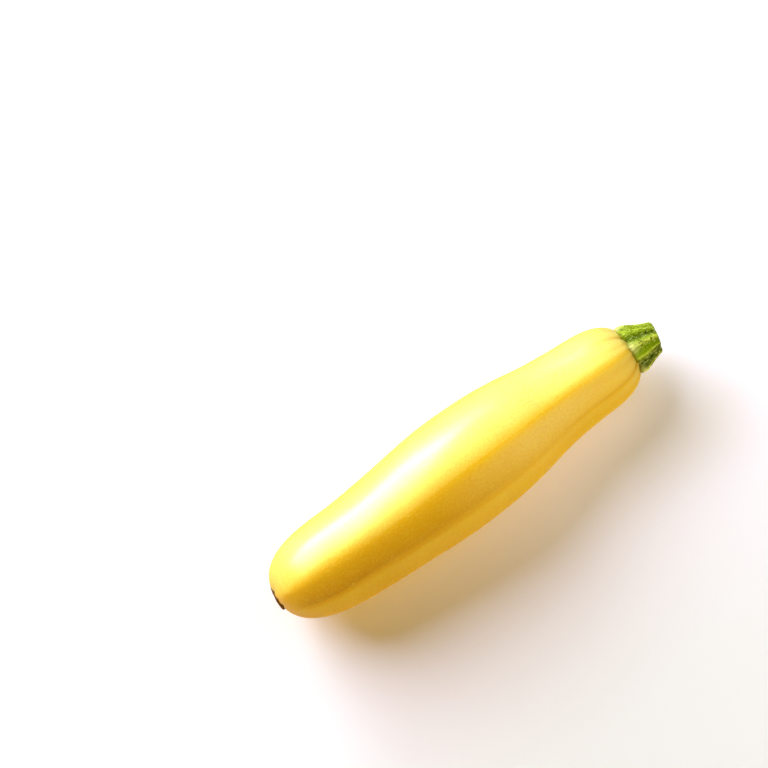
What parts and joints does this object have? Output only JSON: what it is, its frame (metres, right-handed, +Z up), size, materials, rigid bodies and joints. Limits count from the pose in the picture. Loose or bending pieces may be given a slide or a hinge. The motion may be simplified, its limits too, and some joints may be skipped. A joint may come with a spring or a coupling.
{
  "type": "golden zucchini",
  "caption": "Whole golden zucchini lying on its side, with a ribbed neck, a slant-cut green stem stub and a dry blossom scar.",
  "frame": {"origin": "on the table, under the middle of the whole zucchini's bounding box", "axes": "+X along the fruit from the blossom end to the stem, +Y to the left of that, +Z up from the table"},
  "size_m": [0.1834, 0.0466, 0.0464],
  "materials": {
    "skin": "waxy golden-yellow vegetable skin, semi-gloss, with fine pale specks",
    "stem_rind": "rough ribbed green stem with pale ridges and dark furrows, matt",
    "scar_cork": "dry brown corky scar, matt"
  },
  "bodies": {
    "root": {"fruit": "skin", "stem": "stem_rind", "blossom_scar": "scar_cork"}
  },
  "joints": []
}
